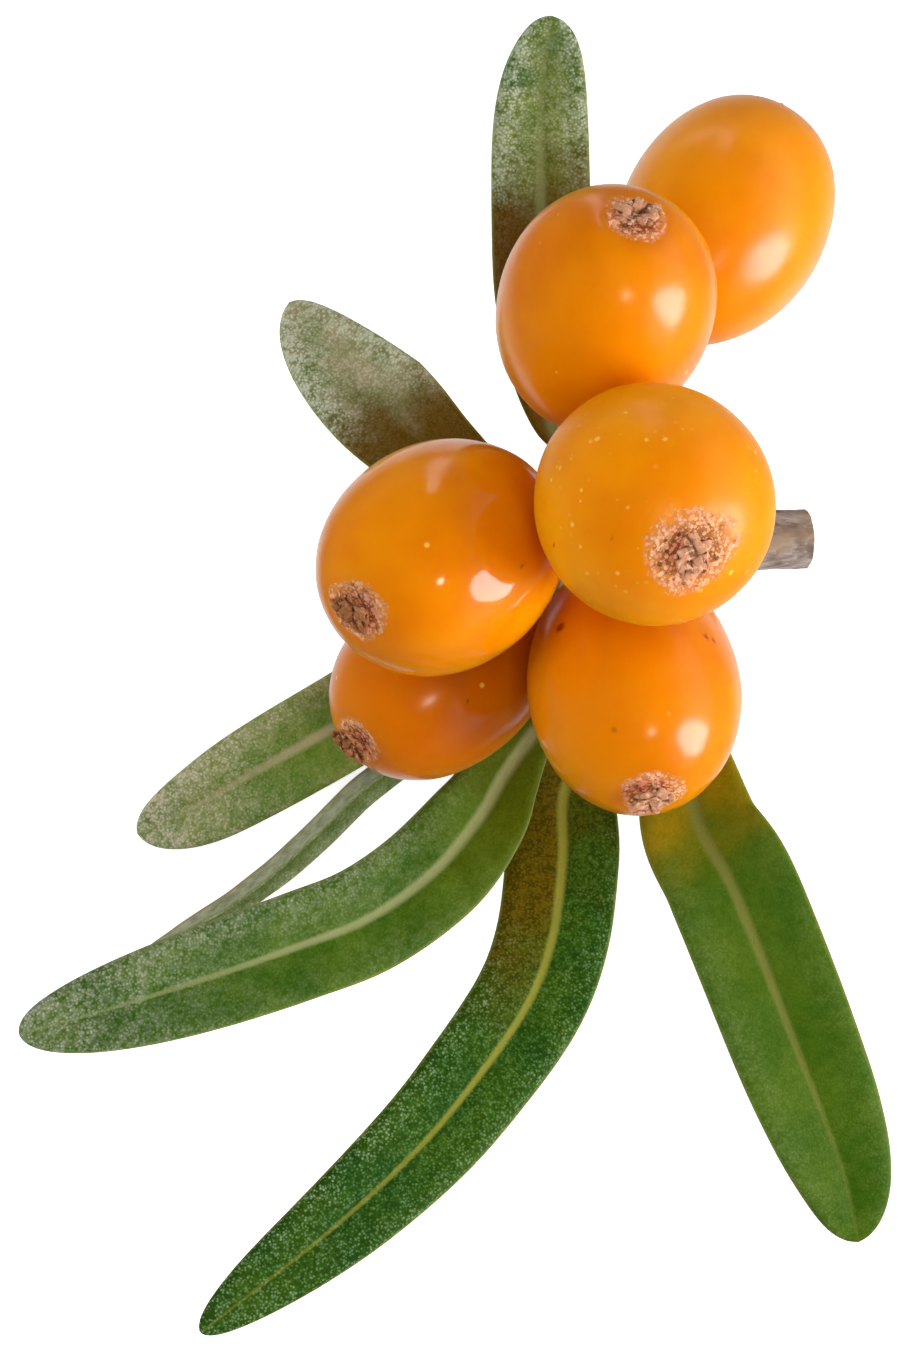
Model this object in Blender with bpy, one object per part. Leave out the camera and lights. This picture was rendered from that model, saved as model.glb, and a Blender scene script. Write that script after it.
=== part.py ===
"""A sprig of sea buckthorn as picked: six ripe berries and seven leaves on a short cut twig.

Sizes are in millimetres and MM turns them into Blender's metres. +Z is up and the surface
that the sprig lies on is z = 0. The origin is under the middle of the sprig, the cut end of
the twig points to +X, and the longest leaves point to +Y and -Y.
"""

import math
from collections import namedtuple

import bmesh
import bpy
import numpy as np

MM = 0.001
CLEARANCE = 0.3  # between a piece and the piece that it grows on
TIP_CLEARANCE = 0.15  # between a dried tip and its dimple

# twig: the centre line from the cut end to the growing tip, and how thick it is
TWIG_ROUTE = ((13.25, 5.1, 1.08), (10.2, 5.0, 2.0), (7.7, 5.0, 2.9), (5.5, 5.2, 4.1), (4.4, 5.6, 6.0),
              (4.5, 6.3, 7.8))
TWIG_RADIUS = 1.12
TWIG_TIP_RADIUS = 0.75
TWIG_SIDES = 16
TWIG_STATIONS = 22
BARK_SWELLING = 0.06  # how far the twig swells where a leaf or a stalk grows from it
SWELLING_REACH = 0.04  # along the twig, as a share of its length
TWIG_END = 0.93  # where its growing tip starts to round off, as a share of its length

# berries: an egg, wider towards the dried tip of the flower than towards the stalk
Berry = namedtuple("Berry", "name centre tip_direction half_length radius twig_place")
BERRIES = (
    Berry("front", (7.1, 6.2, 15.7), (0.28, -0.43, 0.86), 4.6, 4.3, 0.94),
    Berry("upper", (5.4, 13.2, 11.0), (0.22, 0.65, 0.73), 5.1, 3.95, 0.87),
    Berry("left", (-0.55, 4.25, 11.9), (-0.65, -0.42, 0.63), 4.75, 4.15, 0.95),
    Berry("lower_right", (6.6, -0.45, 8.9), (0.11, -0.79, 0.6), 5.1, 3.85, 0.64),
    Berry("lower_left", (-0.3, 0.2, 5.0), (-0.70, -0.55, 0.46), 5.0, 3.5, 0.82),
    Berry("back", (9.9, 16.85, 3.85), (0.43, 0.76, -0.5), 5.17, 3.75, 0.46),
)
BERRY_TAPER = 0.06
BERRY_SEGMENTS = 24
BERRY_RINGS = 15
TIP_DIMPLE_DEPTH = 0.42
TIP_DIMPLE_RADIUS = 1.0
STALK_DIMPLE_DEPTH = 0.18
STALK_DIMPLE_RADIUS = 0.7

# dried tip: what is left of the flower, a crumpled crown in the dimple of each berry
DRIED_TIP_RADIUS = 0.72
DRIED_TIP_HEIGHT = 0.5
DRIED_TIP_SEGMENTS = 14
DRIED_TIP_RINGS = 6
DRIED_TIP_FLARE = 0.3  # how much wider it is at its top, as a share of its radius
DRIED_TIP_HOLLOW = 0.35  # how far its rim stands above its middle, as a share of its half height
DRIED_TIP_LOBES = 0.16  # how far two broad lobes and five small ones stand out
DRIED_TIP_TEETH = 0.1

# stalks: from the twig to each berry
STALK_RADIUS = 0.4
STALK_END = 0.6  # the radius of its rounded ends, as a share of its own
STALK_SIDES = 10
STALK_STATIONS = 9
STALK_ROUNDING = 0.1  # how far the rounding reaches, as a share of its length
STALK_BEND = 0.6  # over which it turns at each end, or a third of a short stalk

# leaves: where each grows from the twig, its midrib from there to its tip, the widest half
# width, the distance from the foot of the blade to its widest place, the petiole's length,
# how far the blade is rolled about the midrib and how far each half is folded up from flat,
# both in degrees, and how blunt the tip is
Leaf = namedtuple("Leaf", "name twig_place midrib half_width widest petiole roll fold bluntness")
LEAVES = (
    Leaf("top", 0.78,
         ((4.8, 7.7, 4.5), (3.7, 9.4, 4.1), (3.2, 13.6, 4.7), (3.08, 18.0, 5.9), (3.12, 21.2, 7.3),
          (3.5, 24.1, 8.2)),
         1.8, 7.5, 1.8, 0, 12, 4),
    Leaf("left_upper", 0.86,
         ((2.9, 6.4, 5.1), (0.7, 7.3, 4.4), (-1.2, 8.15, 3.8), (-2.8, 9.6, 2.9), (-4.75, 11.7, 1.5),
          (-6.45, 13.75, 0.15)),
         2.15, 6.5, 1.6, 0, 12, 2),
    Leaf("left_lower", 0.70,
         ((4.5, 2.9, 3.3), (4.3, 2.2, 1.5), (3.1, 1.8, 0.7), (1.2, 1.2, 0.5), (-1.2, 0.1, 0.9),
          (-4.2, -1.85, 1.6),
          (-7.7, -3.8, 1.2), (-9.7, -4.8, 0.7), (-12.0, -5.8, 0.1)),
         1.8, 9.0, 3.0, 0, 12, 4),
    Leaf("narrow", 0.62,
         ((5.5, 1.9, 1.5), (3.6, 0.0, 0.8), (0.9, -1.6, 0.8), (-1.5, -2.35, 1.0), (-3.85, -4.0, 1.2),
          (-5.55, -5.65, 1.2),
          (-8.2, -8.15, 1.1), (-12.0, -10.7, 0.8)),
         1.45, 8.0, 4.0, 78, 38, 3),
    Leaf("big_left", 0.54,
         ((6.3, 2.0, 2.3), (4.4, -0.4, 2.1), (2.6, -2.4, 2.0), (1.6, -3.7, 2.5), (0.75, -5.2, 3.4),
          (-0.9, -7.2, 4.8),
          (-3.2, -8.9, 6.0), (-5.7, -9.95, 6.9), (-9.4, -11.2, 8.0), (-13.0, -12.3, 8.7),
          (-15.9, -13.1, 9.0)),
         2.05, 7.0, 7.6, 0, 12, 4),
    Leaf("center", 0.45,
         ((7.5, 1.6, 1.2), (5.4, -1.3, 1.0), (4.1, -4.3, 1.4), (4.0, -6.9, 2.4), (3.6, -9.8, 3.9),
          (2.6, -12.2, 5.3),
          (0.6, -14.9, 6.9), (-1.5, -17.3, 8.1), (-4.6, -20.2, 9.2), (-9.2, -23.9, 10.0)),
         2.1, 9.0, 3.5, 4, 12, 3.4),
    Leaf("right", 0.35,
         ((9.1, 1.8, 1.2), (8.5, -1.5, 1.7), (8.9, -5.4, 2.5), (10.15, -7.6, 2.9), (11.3, -10.4, 3.0),
          (12.8, -14.1, 2.7),
          (13.8, -16.6, 2.0), (14.5, -18.9, 1.1), (15.0, -21.2, 0.15)),
         2.4, 9.8, 3.4, 0, 12, 3.6),
)
LEAF_STATIONS = 20
LEAF_ACROSS = (-1.0, -0.55, 0.0, 0.55, 1.0)
BLADE_THICKNESS = 0.26
EDGE_THICKNESS = 0.14
PETIOLE_HALF_WIDTH = 0.33
PETIOLE_THICKNESS = 0.44
PETIOLE_EDGE = 0.6  # the thickness of its edges, as a share of its own
LEAF_TIP_HALF_WIDTH = 0.14
FOLD_START = 0.4  # the fold is full where the blade is this much wider than its petiole
STATION_CROWDING = 1.4  # above 1, the sections of a leaf are closer together at its tip

ORANGE = (0.85, 0.26, 0.0, 1.0)
DRY_BROWN = (0.22, 0.12, 0.07, 1.0)
STALK_GREEN = (0.33, 0.3, 0.1, 1.0)
LEAF_GREEN = (0.08, 0.16, 0.03, 1.0)
BARK_GREY = (0.3, 0.26, 0.22, 1.0)


def clear_scene():
    for thing in list(bpy.data.objects):
        bpy.data.objects.remove(thing, do_unlink=True)


def surface(name, colour, roughness):
    material = bpy.data.materials.new(name)
    material.use_nodes = True
    shader = material.node_tree.nodes["Principled BSDF"]
    shader.inputs["Base Color"].default_value = colour
    shader.inputs["Roughness"].default_value = roughness
    shader.inputs["Metallic"].default_value = 0.0
    return material


def unit(vector):
    vector = np.asarray(vector, dtype=float)
    return vector / np.linalg.norm(vector)


def add_object(name, shape, material):
    """Turn a bmesh in millimetres into a named object in metres."""
    bmesh.ops.scale(shape, vec=(MM, MM, MM), verts=shape.verts)
    mesh = bpy.data.meshes.new(name)
    shape.to_mesh(mesh)
    shape.free()
    mesh.shade_smooth()
    mesh.materials.append(material)
    thing = bpy.data.objects.new(name, mesh)
    bpy.context.collection.objects.link(thing)
    return thing


def smooth_route(points, distances):
    """Places at the given shares of the length of a Catmull-Rom curve through the points."""
    points = np.asarray(points, dtype=float)
    padded = np.vstack((2 * points[0] - points[1], points, 2 * points[-1] - points[-2]))
    before, start, end, after = padded[:-3], padded[1:-2], padded[2:-1], padded[3:]
    fine = []
    for t in np.linspace(0.0, 1.0, 16, endpoint=False):
        fine.append(0.5 * (2 * start + (end - before) * t
                           + (2 * before - 5 * start + 4 * end - after) * t ** 2
                           + (3 * start - before - 3 * end + after) * t ** 3))
    curve = np.vstack((np.stack(fine, axis=1).reshape(-1, 3), points[-1:]))
    lengths = np.append(0.0, np.cumsum(np.linalg.norm(np.diff(curve, axis=0), axis=1)))
    wanted = np.asarray(distances) * lengths[-1]
    places = np.column_stack([np.interp(wanted, lengths, curve[:, axis]) for axis in range(3)])
    return places, lengths[-1]


def level_frames(route):
    """The level side and the upper side of the route at each place."""
    forward = np.gradient(route, axis=0)
    forward /= np.linalg.norm(forward, axis=1)[:, None]
    side = np.cross(forward, (0.0, 0.0, 1.0))
    side /= np.linalg.norm(side, axis=1)[:, None]
    return side, np.cross(side, forward)


def loft(name, rings, material):
    """A closed solid through rings of points, pressed flat where it meets z = 0."""
    shape = bmesh.new()
    loops = [[shape.verts.new((x, y, max(z, 0.0))) for x, y, z in ring] for ring in rings]
    count = len(loops[0])
    for near, far in zip(loops[:-1], loops[1:]):
        for i in range(count):
            shape.faces.new((near[i], near[(i + 1) % count], far[(i + 1) % count], far[i]))
    for loop in (loops[0], loops[-1]):
        middle = shape.verts.new(np.mean([vert.co for vert in loop], axis=0))
        for i in range(count):
            shape.faces.new((loop[i], loop[(i + 1) % count], middle))
    bmesh.ops.recalc_face_normals(shape, faces=shape.faces)
    return add_object(name, shape, material)


def tube(name, route, radii, sides, material):
    side, up = level_frames(route)
    turn = np.linspace(0.0, 2 * math.pi, sides, endpoint=False)
    rings = [place + radius * (np.outer(np.cos(turn), across) + np.outer(np.sin(turn), above))
             for place, radius, across, above in zip(route, radii, side, up)]
    return loft(name, rings, material)


def twig_centre(place):
    """A place on the twig's centre line, from 0 at the cut end to 1 at the growing tip."""
    return smooth_route(TWIG_ROUTE, [place])[0][0]


def twig_radius(place):
    """The twig narrows towards its growing tip and swells where something grows from it."""
    radius = TWIG_RADIUS + (TWIG_TIP_RADIUS - TWIG_RADIUS) * np.asarray(place) ** 2
    for piece in BERRIES + LEAVES:
        radius = radius + BARK_SWELLING * np.exp(-((place - piece.twig_place) / SWELLING_REACH) ** 2)
    return radius


def make_twig(material):
    places = np.linspace(0.0, 1.0, TWIG_STATIONS)
    route = smooth_route(TWIG_ROUTE, places)[0]
    end = np.clip((places - TWIG_END) / (1.0 - TWIG_END), 0.0, 1.0)
    radii = twig_radius(places) * np.sqrt(1.0 - 0.75 * end ** 2)
    return tube("twig", route, radii, TWIG_SIDES, material)


def place_on_axis(shape, centre, direction):
    """Turn a bmesh that was made along +Z to point along a direction, and move it there."""
    along = unit(direction)
    across = unit(np.cross((0.0, 0.0, 1.0), along))
    over = np.cross(along, across)
    for vert in shape.verts:
        x, y, z = vert.co
        vert.co = np.asarray(centre) + x * across + y * over + z * along


def berry_end(berry, towards_tip):
    """The middle of the dimple at the berry's dried tip, or at its stalk."""
    if towards_tip:
        reach = berry.half_length - TIP_DIMPLE_DEPTH
    else:
        reach = STALK_DIMPLE_DEPTH - berry.half_length
    return np.asarray(berry.centre) + reach * unit(berry.tip_direction)


def make_berry(berry, material):
    """An egg of revolution with a dimple at each end, pressed flat where it meets z = 0."""
    shape = bmesh.new()
    bmesh.ops.create_uvsphere(shape, u_segments=BERRY_SEGMENTS, v_segments=BERRY_RINGS, radius=1.0)
    for vert in shape.verts:
        x, y, z = vert.co
        girth = berry.radius * (1.0 + BERRY_TAPER * z)
        across = math.hypot(x, y) * girth
        if z > 0.0:
            dimple = -TIP_DIMPLE_DEPTH * math.exp(-(across / TIP_DIMPLE_RADIUS) ** 2)
        else:
            dimple = STALK_DIMPLE_DEPTH * math.exp(-(across / STALK_DIMPLE_RADIUS) ** 2)
        vert.co = (x * girth, y * girth, z * berry.half_length + dimple)
    place_on_axis(shape, berry.centre, berry.tip_direction)
    for vert in shape.verts:
        vert.co.z = max(vert.co.z, 0.0)
    return add_object("berry_" + berry.name, shape, material)


def make_dried_tip(berry, material):
    """A crumpled crown that narrows downwards into the berry's dimple."""
    shape = bmesh.new()
    bmesh.ops.create_uvsphere(shape, u_segments=DRIED_TIP_SEGMENTS, v_segments=DRIED_TIP_RINGS, radius=1.0)
    for vert in shape.verts:
        x, y, z = vert.co
        angle = math.atan2(y, x)
        ragged = (1.0 + DRIED_TIP_LOBES * math.cos(2 * angle + berry.half_length)
                  + DRIED_TIP_TEETH * math.cos(5 * angle))
        spread = DRIED_TIP_RADIUS * ragged * (1.0 + DRIED_TIP_FLARE * z)
        bowl = DRIED_TIP_HOLLOW * (x * x + y * y)
        vert.co = (x * spread, y * spread, 0.5 * DRIED_TIP_HEIGHT * (z + bowl + 1.0))
    seat = berry_end(berry, True) + TIP_CLEARANCE * unit(berry.tip_direction)
    place_on_axis(shape, seat, berry.tip_direction)
    return add_object("dried_tip_" + berry.name, shape, material)


def from_twig(place, towards):
    """The place just off the bark, square to the twig, where a stalk or a petiole starts."""
    centre = twig_centre(place)
    along = unit(twig_centre(place + 0.01) - twig_centre(place - 0.01))
    outward = np.asarray(towards) - centre
    outward = unit(outward - np.dot(outward, along) * along)
    return centre + (twig_radius(place) + CLEARANCE) * outward


def make_stalk(berry, material):
    """A short bent tube that leaves the bark squarely and meets the berry along its axis."""
    end = berry_end(berry, False) - CLEARANCE * unit(berry.tip_direction)
    start = from_twig(berry.twig_place, end)
    reach = min(STALK_BEND, np.linalg.norm(end - start) / 3)
    off_twig = start + reach * unit(start - twig_centre(berry.twig_place))
    off_berry = end - reach * unit(berry.tip_direction)
    share = np.linspace(0.0, 1.0, STALK_STATIONS)
    route = smooth_route((start, off_twig, off_berry, end), share)[0]
    from_end = np.minimum(share, 1.0 - share) / STALK_ROUNDING
    radii = STALK_RADIUS * (1.0 - (1.0 - STALK_END) * np.exp(-from_end ** 2))
    return tube("stalk_" + berry.name, route, radii, STALK_SIDES, material)


def blade_half_width(leaf, along, length):
    """The petiole, then a blade that is oval at its foot and blunt at its tip."""
    past_widest = along - leaf.petiole - leaf.widest
    foot = np.clip(-past_widest / leaf.widest, 0.0, 1.0)
    tip = np.clip(past_widest / (length - leaf.petiole - leaf.widest), 0.0, 1.0)
    outline = np.where(past_widest < 0.0, (1.0 - foot ** 2) ** 0.75, (1.0 - tip ** leaf.bluntness) ** 0.5)
    smallest = np.where(past_widest < 0.0, PETIOLE_HALF_WIDTH, LEAF_TIP_HALF_WIDTH)
    return np.maximum(leaf.half_width * outline, smallest)


def make_leaf(leaf, material):
    """A folded blade along its midrib, with a thicker petiole at its foot."""
    share = 1.0 - (1.0 - np.linspace(0.0, 1.0, LEAF_STATIONS)) ** STATION_CROWDING
    start = from_twig(leaf.twig_place, leaf.midrib[0])
    route, length = smooth_route((start,) + leaf.midrib, share)
    level, upper = level_frames(route)
    along = share * length
    half_width = blade_half_width(leaf, along, length)
    opened = np.clip((half_width - PETIOLE_HALF_WIDTH) / (FOLD_START * leaf.half_width), 0.0, 1.0)
    slender = np.where(share < 0.5, 1.0 - opened, 0.0)
    thickness = BLADE_THICKNESS + (PETIOLE_THICKNESS - BLADE_THICKNESS) * slender
    edge = EDGE_THICKNESS + (PETIOLE_EDGE * PETIOLE_THICKNESS - EDGE_THICKNESS) * slender
    roll = math.radians(leaf.roll) * np.clip(along / leaf.petiole, 0.0, 1.0)
    fold = math.radians(leaf.fold) * opened
    rings = []
    for i, place in enumerate(route):
        across = math.cos(roll[i]) * level[i] + math.sin(roll[i]) * upper[i]
        above = math.cos(roll[i]) * upper[i] - math.sin(roll[i]) * level[i]
        top = []
        under = []
        for u in LEAF_ACROSS:
            out = math.copysign(math.cos(fold[i]), u) * across + math.sin(fold[i]) * above
            normal = math.cos(fold[i]) * above - math.copysign(math.sin(fold[i]), u) * across
            if u == 0.0:
                normal = above / math.cos(fold[i])
            half_thickness = 0.5 * (thickness[i] + (edge[i] - thickness[i]) * abs(u))
            middle = place + abs(u) * half_width[i] * out
            top.append(middle + half_thickness * normal)
            under.append(middle - half_thickness * normal)
        rings.append(top + under[::-1])
    return loft("leaf_" + leaf.name, rings, material)


def build():
    clear_scene()
    make_twig(surface("bark", BARK_GREY, 0.75))
    for berry in BERRIES:
        make_berry(berry, surface("skin_" + berry.name, ORANGE, 0.25))
        make_dried_tip(berry, surface("dried_flower_" + berry.name, DRY_BROWN, 0.85))
        make_stalk(berry, surface("stalk_skin_" + berry.name, STALK_GREEN, 0.6))
    for leaf in LEAVES:
        make_leaf(leaf, surface("blade_" + leaf.name, LEAF_GREEN, 0.5))


build()
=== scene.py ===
import math
from collections import namedtuple

import bpy
import numpy as np
from mathutils import Matrix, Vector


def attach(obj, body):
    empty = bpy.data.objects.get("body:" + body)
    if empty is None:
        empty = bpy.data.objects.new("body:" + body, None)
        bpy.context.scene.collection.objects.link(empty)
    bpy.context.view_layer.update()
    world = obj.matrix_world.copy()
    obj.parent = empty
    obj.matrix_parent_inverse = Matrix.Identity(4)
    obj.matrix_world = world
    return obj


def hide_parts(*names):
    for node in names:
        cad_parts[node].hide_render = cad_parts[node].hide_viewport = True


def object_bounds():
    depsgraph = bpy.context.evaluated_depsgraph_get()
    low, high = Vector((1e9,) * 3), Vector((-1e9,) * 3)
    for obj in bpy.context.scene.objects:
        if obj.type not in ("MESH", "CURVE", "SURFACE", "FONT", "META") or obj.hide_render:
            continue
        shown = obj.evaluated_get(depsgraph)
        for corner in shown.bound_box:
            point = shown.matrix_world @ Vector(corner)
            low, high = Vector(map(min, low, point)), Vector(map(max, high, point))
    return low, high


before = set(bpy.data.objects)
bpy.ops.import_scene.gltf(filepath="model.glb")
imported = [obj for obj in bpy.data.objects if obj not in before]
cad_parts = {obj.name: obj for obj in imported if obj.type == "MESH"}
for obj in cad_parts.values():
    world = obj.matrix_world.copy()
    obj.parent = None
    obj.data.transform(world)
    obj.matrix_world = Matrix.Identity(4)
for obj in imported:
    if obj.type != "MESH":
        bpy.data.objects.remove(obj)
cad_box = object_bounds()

MM = 0.001

# Lengths are in millimetres. The tip is the way it points, the twig_place is the share of the
# twig where it hangs, and the polish is how rough its coat is. Each fleck has a place and a size.
Berry = namedtuple("Berry", "name centre tip half_length radius twig_place cork dust polish"
                            " deep bright flecks")
BERRIES = (
    Berry("front", (7.05, 6.2, 15.7), (0.28, -0.43, 0.86), 4.6, 4.3, 0.94, 1.7, 1.0, 0.3,
          (226, 134, 0), (238, 150, 0), ((0.93, 0.16, 0.14), (-0.81, -0.36, 0.14), (-0.33, -0.3, 0.1))),
    Berry("upper", (5.4, 13.2, 11.0), (0.22, 0.65, 0.73), 5.1, 3.95, 0.87, 1.15, 0.4, 0.21,
          (214, 119, 0), (228, 139, 0), ()),
    Berry("left", (-0.42, 4.33, 11.77), (-0.65, -0.42, 0.63), 4.95, 4.15, 0.95, 1.25, 0.3, 0.1,
          (222, 125, 0), (236, 144, 0), ((0.9, 0.15, 0.16), (0.68, -0.1, 0.14))),
    Berry("lower_right", (6.5, -0.36, 8.84), (0.11, -0.79, 0.6), 5.2, 3.88, 0.64, 1.15, 0.3, 0.19,
          (216, 121, 0), (228, 138, 0), ((-0.69, 0.54, 0.34), (0.66, 0.45, 0.22), (0.73, 0.42, 0.18))),
    # The lower left berry's deep and bright colours are darker and redder than the others' as painted shade:
    # it lies under the other berries.
    Berry("lower_left", (-0.3, 0.2, 5.0), (-0.70, -0.55, 0.46), 5.0, 3.5, 0.82, 1.05, 0.2, 0.2,
          (206, 108, 0), (218, 122, 0), ((0.2, -0.3, 0.1),)),
    Berry("back", (9.92, 16.82, 3.85), (0.43, 0.76, -0.5), 5.22, 3.85, 0.46, 1.2, 0.1, 0.26,
          (226, 134, 0), (238, 150, 0), ((0.1, -0.2, 0.08),)),
)
BERRY_TAPER = 0.06
TIP_DIMPLE = (0.42, 1.0)
STALK_DIMPLE = (0.18, 0.7)
BERRY_ROWS = 104
BERRY_TURNS = 132
# The height and the size of each kind of relief on the skin.
SWELLS = (0.05, 3.2)
DENTS = (0.012, 0.9)
CORK_LUMPS = (0.09, 0.34)
CORK_LIFT = 0.02
CORK_RAGGEDNESS = (0.3, 0.9)
CORK_EDGE = 1.35
CALM_AXIS = 0.4  # the relief dies out within this distance of the axis
FLECK_EDGE = 1.6
# Large odd numbers that turn a place into a random one, and the shift from seed to seed.
HASHES = (73856093, 19349663, 83492791, 2654435761, 1274126177)
SEED_SHIFT = 97.3


def paint(red, green, blue):
    """A colour given as a painter reads it, from 0 to 255, as the shader's linear colour."""
    share = np.array((red, green, blue)) / 255.0
    linear = np.where(share > 0.04045, ((share + 0.055) / 1.055) ** 2.4, share / 12.92)
    return (float(linear[0]), float(linear[1]), float(linear[2]), 1.0)


def unit(vector):
    vector = np.asarray(vector, dtype=float)
    return vector / np.linalg.norm(vector, axis=-1, keepdims=True)


def grain(places, size, seed=0):
    """Smooth noise from -1 to 1: random values at the corners of cubes of the given size,
    joined inside each cube by the curve 3t^2 - 2t^3 along all three axes."""
    cell = np.asarray(places, dtype=float) / size + SEED_SHIFT * (seed + 1)
    corner = np.floor(cell).astype(np.int64)
    t = cell - corner
    t = t * t * (3.0 - 2.0 * t)
    total = 0.0
    for step in np.ndindex(2, 2, 2):
        x, y, z = np.moveaxis(corner + np.array(step), -1, 0)
        mixed_up = (x * HASHES[0]) ^ (y * HASHES[1]) ^ (z * HASHES[2]) ^ (seed * HASHES[3])
        mixed_up = ((mixed_up ^ (mixed_up >> 13)) * HASHES[4]) & 0x7FFFFFFF
        weight = np.prod(np.where(np.array(step) == 1, t, 1.0 - t), axis=-1)
        total = total + weight * ((mixed_up & 0xFFFF) / 32767.5 - 1.0)
    return total


def crumbs(places, size, seed=0):
    """Noise of three sizes, each half as large and half as strong as the one before."""
    return (grain(places, size, seed) + 0.5 * grain(places, size / 2, seed + 1)
            + 0.25 * grain(places, size / 4, seed + 2)) / 1.75


def closed_skin(name, rows, material, **marks):
    """A closed mesh from a grid of points (rows, turns, 3) in millimetres: each row joins up
    round its turns, and the first and the last row are each closed on their middle point.
    Each mark is a value for every grid point, kept as an attribute of the mesh."""
    count, turns, _ = rows.shape
    ends = np.stack((rows[0].mean(axis=0), rows[-1].mean(axis=0)))
    points = np.concatenate((rows.reshape(-1, 3), ends)) * MM
    ring = np.arange(turns)
    after = (ring + 1) % turns
    start = (np.arange(count - 1) * turns)[:, None]
    walls = np.stack((start + ring, start + after, start + turns + after, start + turns + ring), axis=-1)
    first, last = count * turns, count * turns + 1
    far = (count - 1) * turns
    head = np.stack((after, ring, np.full(turns, first)), axis=-1)
    tail = np.stack((far + ring, far + after, np.full(turns, last)), axis=-1)
    mesh = bpy.data.meshes.new(name)
    mesh.from_pydata(points.tolist(), [], walls.reshape(-1, 4).tolist() + head.tolist() + tail.tolist())
    for mark, values in marks.items():
        flat = np.concatenate((values.ravel(), (values[0].mean(), values[-1].mean())))
        mesh.attributes.new(mark, "FLOAT", "POINT").data.foreach_set("value", flat.astype(np.float32))
    mesh.shade_smooth()
    mesh.materials.append(material)
    mesh.validate()
    piece = bpy.data.objects.new(name, mesh)
    bpy.context.collection.objects.link(piece)
    if volume_within(mesh) < 0.0:
        mesh.flip_normals()
    return piece


def volume_within(mesh):
    """The volume inside a closed mesh, below zero where its faces point inwards."""
    mesh.calc_loop_triangles()
    corners = np.zeros(len(mesh.loop_triangles) * 3, dtype=np.int32)
    mesh.loop_triangles.foreach_get("vertices", corners)
    places = np.zeros(len(mesh.vertices) * 3)
    mesh.vertices.foreach_get("co", places)
    a, b, c = np.moveaxis(places.reshape(-1, 3)[corners.reshape(-1, 3)], 1, 0)
    return float(np.einsum("ij,ij->", a, np.cross(b, c))) / 6.0


def on_axis(local, centre, direction):
    """Points made round +Z, turned to point along a direction and moved to a centre."""
    along = unit(direction)
    across = unit(np.cross((0.0, 0.0, 1.0), along))
    over = np.cross(along, across)
    return np.asarray(centre) + local[..., :1] * across + local[..., 1:2] * over + local[..., 2:] * along


def berry_rows(berry):
    """An egg: sin and cos of the angle from the tip give its girth and its length, the girth
    grows with a small taper towards the tip, and a bell-shaped dimple is taken off each end.
    The angle grows slowly at first, so that the rows crowd round the dried tip. Low noise
    makes the egg uneven, and fine noise makes its corky patch rough."""
    t = np.linspace(0.0, 1.0, BERRY_ROWS + 2)[1:-1, None]
    angle = math.pi * (0.5 * t + 0.5 * t ** 2)
    turn = np.linspace(0.0, 2 * math.pi, BERRY_TURNS, endpoint=False)[None, :]
    girth = berry.radius * (1.0 + BERRY_TAPER * np.cos(angle)) * np.sin(angle) + 0.0 * turn
    tip_depth, tip_width = TIP_DIMPLE
    stalk_depth, stalk_width = STALK_DIMPLE
    dimple = np.where(angle < math.pi / 2, -tip_depth * np.exp(-(girth / tip_width) ** 2),
                      stalk_depth * np.exp(-(girth / stalk_width) ** 2))
    local = np.stack((girth * np.cos(turn), girth * np.sin(turn),
                      berry.half_length * np.cos(angle) + dimple), axis=-1)
    seed = len(berry.name)
    outward = unit(local / np.array((berry.radius, berry.radius, berry.half_length)) ** 2)
    ragged = girth * (1.0 + CORK_RAGGEDNESS[0] * crumbs(local, CORK_RAGGEDNESS[1], seed))
    cork = np.where(angle < math.pi / 2, np.clip(CORK_EDGE * (1.1 - ragged / berry.cork), 0.0, 1.0), 0.0)
    relief = SWELLS[0] * grain(local, SWELLS[1], seed) + DENTS[0] * grain(local, DENTS[1], seed + 4)
    lumps = CORK_LUMPS[0] * crumbs(local, CORK_LUMPS[1], seed + 7) + CORK_LIFT
    relief = (relief + np.clip(2.0 * cork, 0.0, 1.0) * lumps) * np.clip(girth / CALM_AXIS, 0.0, 1.0)
    rows = on_axis(local + relief[..., None] * outward, berry.centre, berry.tip)
    rows[..., 2] = np.maximum(rows[..., 2], 0.0)
    return rows, cork, local


def node_group(name, inputs, outputs):
    """An empty shader node group, what it is given and what it gives. Its sockets are named
    under their kinds, which are Vector, Float and Color."""
    tree = bpy.data.node_groups.new(name, "ShaderNodeTree")
    for way, sockets in (("INPUT", inputs), ("OUTPUT", outputs)):
        for kind, names in sockets.items():
            for socket in names:
                tree.interface.new_socket(socket, in_out=way, socket_type="NodeSocket" + kind)
    return tree, tree.nodes.new("NodeGroupInput").outputs, tree.nodes.new("NodeGroupOutput").inputs


def wire(tree, kind, sets=(), **links):
    """A node of a tree, with its settings and with values or other sockets on its inputs."""
    made = tree.nodes.new(kind)
    for setting, value in dict(sets).items():
        setattr(made, setting, value)
    for socket, value in links.items():
        socket = int(socket[1:]) if socket[0] == "i" and socket[1:].isdigit() else socket.replace("_", " ")
        if isinstance(value, bpy.types.NodeSocket):
            tree.links.new(value, made.inputs[socket])
        else:
            made.inputs[socket].default_value = value
    return made


def maths(tree, operation, a, b=0.0, clamp=False):
    return wire(tree, "ShaderNodeMath", {"operation": operation, "use_clamp": clamp}, i0=a, i1=b).outputs[0]


def plus(tree, a, b):
    return maths(tree, "ADD", a, b)


def minus(tree, a, b):
    return maths(tree, "SUBTRACT", a, b)


def times(tree, a, b, clamp=False):
    return maths(tree, "MULTIPLY", a, b, clamp)


def mixed(tree, share, under, over):
    """One value that gives way to another by the given share."""
    return wire(tree, "ShaderNodeMix", {"data_type": "FLOAT"}, i0=share, i2=under, i3=over).outputs[0]


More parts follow.
